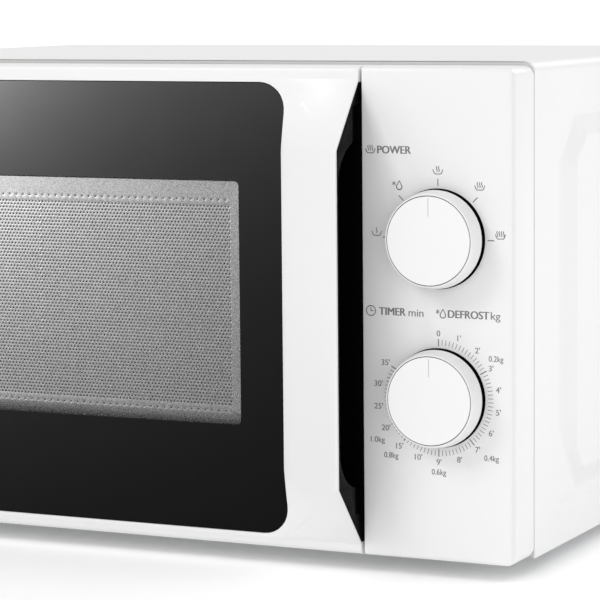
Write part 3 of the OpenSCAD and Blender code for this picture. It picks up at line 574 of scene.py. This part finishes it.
def make_plate_sheet(low, high, field):
    """The plate's sheet: a border, the step up from it, and the edge round the perforated field."""
    field_y, step_y = low.y, low.y + PLATE_STEP
    lap_left, lap_right, lap_z, inside_r = 1.2 * MM, 0.2 * MM, 0.6 * MM, 0.5 * MM
    sheet_behind = 0.04 * MM   # keeps the sheet's inner edge clear of the field's front face
    inside = box_outline(field[0] + lap_left, field[1] + lap_z, field[2] - lap_right,
                         field[3] - lap_z, inside_r)
    front = box_outline(VIEW_LOW.x + LIP_X, VIEW_LOW.z, VIEW_HIGH.x - LIP_X, VIEW_HIGH.z - LIP_X, OPEN_R)
    border = box_outline(low.x, low.z, high.x, high.z, OPEN_R)
    lip = view_outline(inset=-0.3 * MM, steps=6)
    mesh = lofted("door_plate_sheet", [
        (step_y, border), (step_y, lip), (field_y, front), (field_y + sheet_behind, inside),
        (field_y + FIELD_T, inside), (field_y + FIELD_T, front), (step_y + PLATE_T, lip),
        (step_y + PLATE_T, border)])
    add_piece("door_plate_sheet", mesh, "door", "door_mesh", "door_plate")


def make_plate_rims(low, high):
    """The plate's two folded walls, which run back from it, one inside the other."""
    rim_z, rim_right, fold = 5 * MM, 2.5 * MM, 20 * MM
    front_y = low.y + PLATE_STEP + PLATE_T / 2
    for count, inset in enumerate((0, fold)):
        loops = [(y, box_outline(low.x + grow, low.z + rim_z + grow, high.x - rim_right - grow,
                                 high.z - rim_z - grow, OPEN_R))
                 for y, grow in ((front_y, inset), (high.y, inset), (high.y, inset + PLATE_T),
                                 (front_y, inset + PLATE_T))]
        add_piece(f"door_plate_rim_{count}", lofted("rim", loops), "door", "door_mesh", "door_plate")


def make_door_plate():
    """The steel plate behind the window: sheet, pressed step, folded rims and its holes."""
    low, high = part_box("door_plate")
    plain_sides, plain_low = 10 * MM, 2.8 * MM
    columns = int((VIEW_HIGH.x - VIEW_LOW.x - plain_sides) / HOLE_PITCH / 2)
    middle = (VIEW_LOW.x + VIEW_HIGH.x) / 2
    half = columns * HOLE_PITCH
    field_z = VIEW_LOW.z + plain_low
    make_plate_sheet(low, high, (middle - half, field_z, middle + half,
                                 field_z + FIELD_ROWS * ROW_PITCH))
    make_plate_rims(low, high)
    for side, x in (("left", middle - half), ("right", middle)):
        field = perforated_field("perforation", x, columns, field_z, low.y)
        add_piece(f"perforation_{side}", field, "door", "door_mesh", "door_plate")


make_window()
make_door_plate()


# ---------------------------------------------------------------- outer case

CASE_R = 6 * MM
CASE_T = 0.8 * MM
SIDE_RAISE = 1.5 * MM
TOP_RAISE = 1.0 * MM

# The top's field, in millimetres: its margins at the sides and at the ends, and its slope's width.
TOP_MARGIN_X, TOP_MARGIN_Y, TOP_SLOPE = 34, 28, 12

# The side field's foot and crest outlines as (y, z), in millimetres from the panel's face and foot.
SIDE_OUTER = ((63.5, 58), (63.5, 196), (86, 218.5), (277.5, 218.5), (300, 196), (300, 58),
              (276, 26.5), (88, 26.5))
SIDE_INNER = ((87, 46), (87, 197), (101, 208), (262.5, 208), (276.5, 197), (276.5, 46),
              (267, 35), (97, 35))

# The crease under the side field, in the same millimetres: its height and half width, the y where
# it begins and ends, and the length over which each end fades out.
CREASE_Z, CREASE_HALF, CREASE_LOW, CREASE_HIGH, CREASE_FADE = 19.5, 2.2, 60, 303, 6
CREASE_SINK = 0.5 * MM

# The left side's vent slots: their edges in y, and the heights that they run between.
VENT_Y, VENT_PITCH, VENT_W = 20 * MM, 12 * MM, 4 * MM
VENTS = [(VENT_Y + VENT_PITCH * k, VENT_Y + VENT_PITCH * k + VENT_W) for k in range(9)]
VENT_LOW, VENT_HIGH = 190 * MM, 222 * MM


def depth_inside(outline, y, z):
    """How far a point lies inside a convex outline given clockwise; negative outside."""
    depth = math.inf
    for (y0, z0), (y1, z1) in zip(outline, outline[1:] + outline[:1]):
        length = math.hypot(y1 - y0, z1 - z0)
        depth = min(depth, ((z1 - z0) * (y - y0) - (y1 - y0) * (z - z0)) / length)
    return depth


def eased(share):
    """Nearly straight from 0 to 1, with soft ends."""
    share = min(1.0, max(0.0, share))
    return 0.85 * share + 0.15 * share * share * (3 - 2 * share)


def side_raise(y, z):
    """How far the side stands out: a raised field with sloped edges, and a crease under it."""
    y, z = (y - FACE_Y) / MM, (z - PANEL_LOW.z) / MM
    outside = depth_inside(SIDE_OUTER, y, z)
    if outside > 0:
        inside = -depth_inside(SIDE_INNER, y, z)
        return SIDE_RAISE * (eased(outside / (outside + inside)) if inside > 0 else 1)
    across = abs(z - CREASE_Z) / CREASE_HALF
    along = min(y - CREASE_LOW, CREASE_HIGH - y) / CREASE_FADE
    if across < 1 and along > 0:
        return -CREASE_SINK * eased(1 - across) * min(1, along)
    return 0.0


def top_raise(x, y):
    """How far the top stands up: a wide field with sloped edges."""
    edge = min((CASE_HIGH.x - abs(x)) / MM - TOP_MARGIN_X, (y - CASE_LOW.y) / MM - TOP_MARGIN_Y,
               (CASE_HIGH.y - y) / MM - TOP_MARGIN_Y)
    return TOP_RAISE * eased(edge / TOP_SLOPE)


def case_raise(x, y, z, out_x, out_z):
    """How far the case stands out at a place; its bends between sides and top are plain."""
    if out_z == 0:
        return side_raise(y, z)
    return top_raise(x, y) if out_x == 0 else 0


def case_path():
    """The case's cross-section as (x, z, outward x, outward z), from one foot over to the other."""
    half, top = CASE_HIGH.x - SIDE_RAISE, CASE_HIGH.z - TOP_RAISE
    low, span, rise = CASE_LOW.z, half - CASE_R, top - CASE_R - CASE_LOW.z
    side_steps, bend_steps, top_steps = int(rise / (2.5 * MM)), 6, 100
    side = [(half, low + rise * i / side_steps) for i in range(side_steps + 1)]
    bend = [math.radians(90 * i / bend_steps) for i in range(1, bend_steps)]
    corner = [(half - CASE_R + CASE_R * math.cos(t), top - CASE_R + CASE_R * math.sin(t),
               math.cos(t), math.sin(t)) for t in bend]
    right = [(x, z, 1, 0) for x, z in side] + corner
    over = [(span - 2 * span * i / top_steps, top, 0, 1) for i in range(top_steps + 1)]
    return right + over + [(-x, z, -u, v) for x, z, u, v in reversed(right)]


def case_depths():
    """The depths that the case has points at: even steps, and the edges of the vents."""
    low, high, steps, apart = CASE_LOW.y, CASE_HIGH.y, 110, 1.2 * MM
    edges = {low, high, *(y for vent in VENTS for y in vent)}
    even = [low + (high - low) * i / steps for i in range(steps + 1)]
    return sorted(edges.union(y for y in even if all(abs(y - edge) > apart for edge in edges)))


def case_layer(shape, path, depths, sink):
    """Points over the whole case, this far below its outer face."""
    layer = []
    for x, z, out_x, out_z in path:
        row = []
        for y in depths:
            reach = case_raise(x, y, z, out_x, out_z) - sink
            row.append(shape.verts.new((x + out_x * reach, y, z + out_z * reach)))
        layer.append(row)
    return layer


def crispen(mesh, path, depths):
    """Turns the sides' shading normals further than the pressing does, so that it reads."""
    gain, step = 2.6, 0.5 * MM
    normals = [v.normal.copy() for v in mesh.vertices]
    for i, (_, z, out_x, out_z) in enumerate(path):
        if out_z:
            continue
        for k, y in enumerate(depths):
            along = (side_raise(y + step, z) - side_raise(y - step, z)) / (2 * step)
            up = (side_raise(y, z + step) - side_raise(y, z - step)) / (2 * step)
            normals[i * len(depths) + k] = Vector((out_x, -gain * along, -gain * up)).normalized()
    mesh.normals_split_custom_set_from_vertices(normals)


def make_case():
    """The wrap-round sheet with its pressed fields and the left side's vent slots."""
    path, depths = case_path(), case_depths()
    shape = bmesh.new()
    outer, inner = (case_layer(shape, path, depths, sink) for sink in (0, CASE_T))

    def is_kept(i, k):
        """Whether the cell after point i of the path and depth k is sheet, not a vent or beyond."""
        if not (0 <= i < len(path) - 1 and 0 <= k < len(depths) - 1):
            return False
        z = (path[i][1] + path[i + 1][1]) / 2
        y = (depths[k] + depths[k + 1]) / 2
        in_vent = VENT_LOW < z < VENT_HIGH and any(a < y < b for a, b in VENTS)
        return not (path[i][2] == -1 and in_vent)

    for i in range(len(path) - 1):
        for k in range(len(depths) - 1):
            if not is_kept(i, k):
                continue
            shape.faces.new((outer[i][k], outer[i + 1][k], outer[i + 1][k + 1], outer[i][k + 1]))
            shape.faces.new((inner[i][k + 1], inner[i + 1][k + 1], inner[i + 1][k], inner[i][k]))
            edges = (((i, k), (i + 1, k), (i, k - 1)), ((i + 1, k + 1), (i, k + 1), (i, k + 1)),
                     ((i, k + 1), (i, k), (i - 1, k)), ((i + 1, k), (i + 1, k + 1), (i + 1, k)))
            for (a, b), (c, d), beyond in edges:
                if not is_kept(*beyond):
                    shape.faces.new((outer[c][d], outer[a][b], inner[a][b], inner[c][d]))
    mesh = to_mesh("case_wrap", shape, smooth_angle=30)
    crispen(mesh, path, depths)
    add_piece("case_wrap", mesh, "root", "white_paint", "outer_case")


make_case()


# ---------------------------------------------------------------- printing on the panel

PRINT_Y = FACE_Y - 0.03 * MM   # the printing's front, just proud of the panel
PRINT_T = 0.05 * MM
STROKE = 0.42 * MM             # line width of the small pictures
print_shape = bmesh.new()


def panel_point(x, z):
    """A place on the panel, in millimetres from its lower right corner."""
    return PANEL_HIGH.x + x * MM, PANEL_LOW.z + z * MM


def draw_line(points, width):
    """Prints a line of a width through points on the panel, in metres."""
    half = width / 2
    for (x0, z0), (x1, z1) in zip(points, points[1:]):
        length = math.hypot(x1 - x0, z1 - z0)
        ux, uz = (x1 - x0) / length * half, (z1 - z0) / length * half
        ring = [(x0 - ux + uz, z0 - uz - ux), (x1 + ux + uz, z1 + uz - ux),
                (x1 + ux - uz, z1 + uz + ux), (x0 - ux - uz, z0 - uz + ux)]
        add_prism(print_shape, ring, PRINT_Y, PRINT_Y + PRINT_T)


def draw_arc(x, z, radius, start, end, width):
    """Prints an arc; angles in degrees, counter-clockwise from the right."""
    steps = 24
    turns = [math.radians(start + (end - start) * i / steps) for i in range(steps + 1)]
    draw_line([(x + radius * math.cos(t), z + radius * math.sin(t)) for t in turns], width)


def write(words, x, z, height, width=None, weight=0.0):
    """Prints words centred on a place in metres, at a height and, if given, a width.

    A weight prints them twice, that far to either side, for thicker strokes.
    """
    share = 0.6         # a height stands for this share of the font's size; capitals fill 0.69
    half_t = 0.02       # half the thickness that the letters are first made with
    hair = 0.004 * MM   # keeps the second print clear of the first
    curve = bpy.data.curves.new("words", "FONT")
    curve.body = words
    curve.align_x = "CENTER"
    curve.align_y = "CENTER"
    curve.size = 1.0
    curve.resolution_u = 4
    curve.extrude = half_t
    text = bpy.data.objects.new("words", curve)
    bpy.context.collection.objects.link(text)
    bpy.context.view_layer.update()
    mesh = bpy.data.meshes.new_from_object(text.evaluated_get(bpy.context.evaluated_depsgraph_get()))
    across = [v.co.x for v in mesh.vertices]
    up = [v.co.y for v in mesh.vertices]
    scale_z = height / share
    scale_x = width / (max(across) - min(across)) if width else scale_z
    centre = ((max(across) + min(across)) / 2, (max(up) + min(up)) / 2)
    for v in mesh.vertices:
        v.co = Vector((x - weight + (v.co.x - centre[0]) * scale_x,
                       PRINT_Y + (half_t - v.co.z) / (2 * half_t) * PRINT_T,
                       z + (v.co.y - centre[1]) * scale_z))
    print_shape.from_mesh(mesh)
    if weight:
        mesh.transform(Matrix.Translation((2 * weight, -hair, 0)))
        print_shape.from_mesh(mesh)
    bpy.data.objects.remove(text)
    bpy.data.meshes.remove(mesh)


def on_circle(z, radius, clock):
    """A place round a dial; clock in degrees, clockwise from the top."""
    turn = math.radians(clock)
    return DIAL_X + radius * MM * math.sin(turn), z + radius * MM * math.cos(turn)


def draw_cup(x, z, lines):
    """A bowl with one to four lines of steam over it."""
    bowl = [(-2.6, 1.0), (-2.1, -0.4), (-1.4, -1.1), (1.4, -1.1), (2.1, -0.4), (2.6, 1.0)]
    draw_line([(x + u * MM, z + v * MM) for u, v in bowl], STROKE)
    apart, sway, foot, rise = 1.15, 0.22, 0.1, 0.42
    for i in range(lines):
        u = (i - (lines - 1) / 2) * apart
        wave = [(u + sway * math.sin(k * math.pi / 3), foot + k * rise) for k in range(7)]
        draw_line([(x + a * MM, z + b * MM) for a, b in wave], STROKE * 0.9)


def draw_thaw(x, z):
    """A small star and a drop."""
    star_x, star_z, arm = x - 1.9 * MM, z + 0.9 * MM, 1.0 * MM
    for k in range(3):
        turn = math.radians(30 + 60 * k)
        u, v = arm * math.cos(turn), arm * math.sin(turn)
        draw_line([(star_x - u, star_z - v), (star_x + u, star_z + v)], STROKE * 0.8)
    drop_x, drop_z, radius, tip, shoulder = x + 0.9 * MM, z - 0.7 * MM, 1.45 * MM, 2.9 * MM, 35
    draw_arc(drop_x, drop_z, radius, -180 - shoulder, shoulder, STROKE)
    for side in (-1, 1):
        edge = (drop_x + side * radius * math.cos(math.radians(shoulder)),
                drop_z + radius * math.sin(math.radians(shoulder)))
        draw_line([edge, (drop_x, drop_z + tip)], STROKE)


def draw_clock(x, z):
    """A clock face with two hands."""
    radius, long_hand, short_hand = 2.5 * MM, 1.5 * MM, 1.2 * MM
    draw_arc(x, z, radius, 0, 360, STROKE)
    draw_line([(x, z + long_hand), (x, z), (x + short_hand, z)], STROKE)


def print_timer_scale():
    """Minutes round the timer dial, bold where the scale's step changes, and weights."""
    last, minor, major = 300, 4, (0, 60, 140, 180, 220, 240, 300)
    for clock in range(0, last + 1, minor):
        outer_r, inner_r, width = (29.2, 26.0, 0.55) if clock in major else (29.0, 26.6, 0.3)
        draw_line([on_circle(TIMER_Z, outer_r, clock), on_circle(TIMER_Z, inner_r, clock)], width * MM)
    weight, minute_turn = 0.05 * MM, 20
    for place, minute in enumerate((*range(11), 15, 20, 25, 30, 35)):
        radius = 32.2 if minute < 11 else 33.0
        words = f"{minute}'" if minute else "0"
        write(words, *on_circle(TIMER_Z, radius, place * minute_turn), 2.5 * MM, weight=weight)
    weights = (("0.2kg", 36.7, 56.2), ("0.4kg", 40.4, 136), ("0.6kg", 37.7, 180),
               ("0.8kg", 40.1, 220), ("1.0kg", 40.4, 235))
    for words, radius, clock in weights:
        write(words, *on_circle(TIMER_Z, radius, clock), 2.45 * MM, 7.7 * MM, weight)


def print_power_scale():
    """Five marks round the power dial, each with its picture."""
    outer_r, inner_r = 29.4, 26.4
    for clock in (-90, -45, 0, 45, 90):
        draw_line([on_circle(POWER_Z, outer_r, clock), on_circle(POWER_Z, inner_r, clock)], 0.5 * MM)
    draw_cup(*panel_point(-73.0, 163.4), 1)
    draw_thaw(*panel_point(-61.6, 187.5))
    draw_cup(*panel_point(-40.0, 194.6), 2)
    draw_cup(*panel_point(-17.9, 187.2), 3)
    draw_cup(*panel_point(-7.1, 163.5), 4)


def print_legends():
    """Plain words for what each dial sets."""
    height, bold, plain = 3.3 * MM, 0.18 * MM, 0.04 * MM
    draw_cup(*panel_point(-76.2, 204.4), 3)
    write("POWER", *panel_point(-63.4, 205.0), height, 17.9 * MM, bold)
    draw_clock(*panel_point(-76.4, 124.5))
    write("TIMER", *panel_point(-64.8, 124.5), height, 14.2 * MM, bold)
    write("min", *panel_point(-52.0, 124.3), height, 8.0 * MM, plain)
    draw_thaw(*panel_point(-38.5, 124.5))
    write("DEFROST", *panel_point(-24.0, 124.5), height, 21.6 * MM, bold)
    write("kg", *panel_point(-9.7, 123.9), height, 5.0 * MM, plain)


def make_print():
    """All the printing as one thin piece on the panel."""
    print_timer_scale()
    print_power_scale()
    print_legends()
    piece = add_piece("panel_print", to_mesh("panel_print", print_shape), "root", "black_plastic")
    set_material(piece, PRINT)


make_print()


# ---------------------------------------------------------------- softened mouldings

# Each end of the handle's ramp: the height where its ridge is full, and the height where it is gone.
RAMP_ENDS = tuple((PANEL_LOW.z + ridge * MM, PANEL_LOW.z + tip * MM)
                  for ridge, tip in ((37.7, 5.1), (205, 239.7)))


def drape(shape):
    """Bends both ends of the handle's ramp into smooth twisted faces, back from the two facets."""
    left, right = BEZEL_HIGH.x, DOOR_HIGH.x
    proud = FACE_Y - DOOR_LOW.y
    cuts_x, cuts_z, same_point, face_margin = 12, 10, 0.002 * MM, 0.01 * MM
    planes = [((left + (right - left) * k / cuts_x, 0, 0), (1, 0, 0)) for k in range(cuts_x)]
    planes += [((0, 0, ridge + (tip - ridge) * k / cuts_z), (0, 0, 1)) for ridge, tip in RAMP_ENDS
               for k in range(cuts_z + 1)]
    for place, normal in planes:
        parts = [*shape.verts, *shape.edges, *shape.faces]
        bmesh.ops.bisect_plane(shape, geom=parts, dist=same_point, plane_co=place, plane_no=normal)
    for v in shape.verts:
        across = (v.co.x - left) / (right - left)
        if v.co.y > FACE_Y - face_margin or not 0 < across < 1:
            continue
        for ridge, tip in RAMP_ENDS:
            down = (v.co.z - tip) / (ridge - tip)
            if 0 < down < 1:
                v.co.y += proud * (min(across, down) - across * down)


def make_door_moulding():
    """The door's white moulding, its window cut out to the flared outline, its edges softened."""
    plain = to_mesh("door_moulding", node_shape("door_frame"))
    recess_front, recess_back = FACE_Y - 3.2 * MM, FACE_Y + 3.9 * MM
    cutter = prism("cutter", window_outline(0), recess_front, recess_back)
    shape = bmesh.new()
    shape.from_mesh(cut(plain, cutter))
    soften_edges(shape, 0.5 * MM)
    drape(shape)
    add_piece("door_moulding", to_mesh("door_moulding", shape, SOFT_ANGLE), "door",
              "white_plastic", "door_frame")


make_door_moulding()
softened("panel_moulding", "control_panel", 0.4 * MM)
softened("handle_scoop", "handle_insert", 0.4 * MM, drape)


# ---------------------------------------------------------------- dials

def turned(name, profile, x, z):
    """A solid turned about a line along Y; the closed profile is given as (radius, y)."""
    steps, smooth_angle = 128, 35
    shape = bmesh.new()
    rings = []
    for radius, y in profile:
        turns = [2 * math.pi * i / steps for i in range(steps)] if radius > 0 else [0]
        rings.append([shape.verts.new((x + radius * math.cos(t), y, z + radius * math.sin(t)))
                      for t in turns])
    for first, second in zip(rings, rings[1:] + rings[:1]):
        if len(first) == len(second) == 1:
            continue
        for k in range(steps):
            m = (k + 1) % steps
            corners = [first[k % len(first)], first[m % len(first)], second[m % len(second)],
                       second[k % len(second)]]
            shape.faces.new(list(dict.fromkeys(corners)))
    return to_mesh(name, shape, smooth_angle)


def make_dial(name, body, node, z):
    """A white knob with an inset face, a soft rim, a flared skirt and a pointer; its pointer and rim
    groove are darkened with painted shade, and it stands on a still black ring that is painted shade for
    the gap under it.
    """
    low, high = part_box(node)
    radius = (high.x - low.x) / 2
    face, base = low.y, high.y
    face_r = radius - 2.3 * MM

    def near_rim(*points):
        """Profile points in millimetres, out from the inset face's edge and back from the face."""
        return [(face_r + out * MM, face + back * MM) for out, back in points]

    groove = near_rim((-0.3, 0.2), (-0.2, 0.3), (-0.2, 1.3), (0.2, 1.3), (0.2, 0.2))
    rim = near_rim((0.3, 0.05), (0.5, 0), (0.75, 0.15), (1.0, 0.7), (1.15, 1.8))
    skirt = [(radius - 0.1 * MM, base - 1.5 * MM), (radius, base - 0.8 * MM),
             (radius - 0.1 * MM, base), (radius - 2 * MM, base)]
    profile = [(0, face + 0.2 * MM), *groove, *rim, *skirt, *near_rim((-2, 2.5)),
               (0, face + 2.5 * MM)]
    add_piece(f"{name}_knob", turned(f"{name}_knob", profile, DIAL_X, z), body, "dial_plastic", node)
    # The pointer: a grey strip flush with the face, painted shade for an engraved groove.
    low_z, high_z, half = z + 12 * MM, z + 21 * MM, 0.2 * MM
    line = prism("line", box_outline(DIAL_X - half, low_z, DIAL_X + half, high_z, 0.15 * MM, 2),
                 face + 0.16 * MM, face + 0.4 * MM)
    pointer = add_piece(f"{name}_pointer", line, body, "dial_plastic", node)
    set_material(pointer, POINTER_SHADE)
    # A black ring in the bottom of the groove round the face: painted shade for the groove.
    groove_shade = near_rim((-0.25, 0.7), (0.25, 0.7), (0.25, 1.2), (-0.25, 1.2))
    add_piece(f"{name}_seam", turned(f"{name}_seam", groove_shade, DIAL_X, z), body, "handle_black", node)
    # A still black ring on the panel, a little wider than the skirt: painted shade for the gap under the
    # knob.
    bore_r, shade_ring_r, shade_ring_t = 4 * MM, radius + 0.5 * MM, 0.3 * MM
    ring = [(bore_r, FACE_Y), (bore_r, FACE_Y - shade_ring_t), (shade_ring_r - 0.2 * MM, FACE_Y - shade_ring_t),
            (shade_ring_r, FACE_Y - 0.1 * MM), (shade_ring_r, FACE_Y)]
    add_piece(f"{name}_washer", turned(f"{name}_washer", ring, DIAL_X, z), "root", "handle_black")


make_dial("timer", "timer_dial", "timer_dial", TIMER_Z)
make_dial("power", "power_dial", "power_dial", POWER_Z)


# ---------------------------------------------------------------- latch spring

def make_spring():
    """The door latch's coil spring, on a mesh of its own; the real spring shortens by as much as the
    latch lifts.
    """
    node = "latch_spring"
    mesh = to_mesh("spring_coil", node_shape(node), smooth_angle=60)
    piece = add_piece("spring_coil", mesh, BODY_OF[node], SLOTS[node], node)
    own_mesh(piece)


make_spring()


# ---------------------------------------------------------------- the window's own lights

def light_window():
    """Soft lights on the window's glass and plate alone, for the glow in its upper left."""
    glass = [bpy.data.objects["window_glass"]]
    plate = [piece for piece in bpy.data.objects
             if piece.name.startswith(("door_plate_sheet", "perforation_"))]
    add_light("window_glow", (44, 5), 60, glass, size=(2.4, 0.3))
    add_light("window_spot", (41, 5), 400, glass, size=(0.4, 0.3))
    add_light("plate_glow", (42, 6), 130, plate, size=(0.5, 0.3))


light_window()
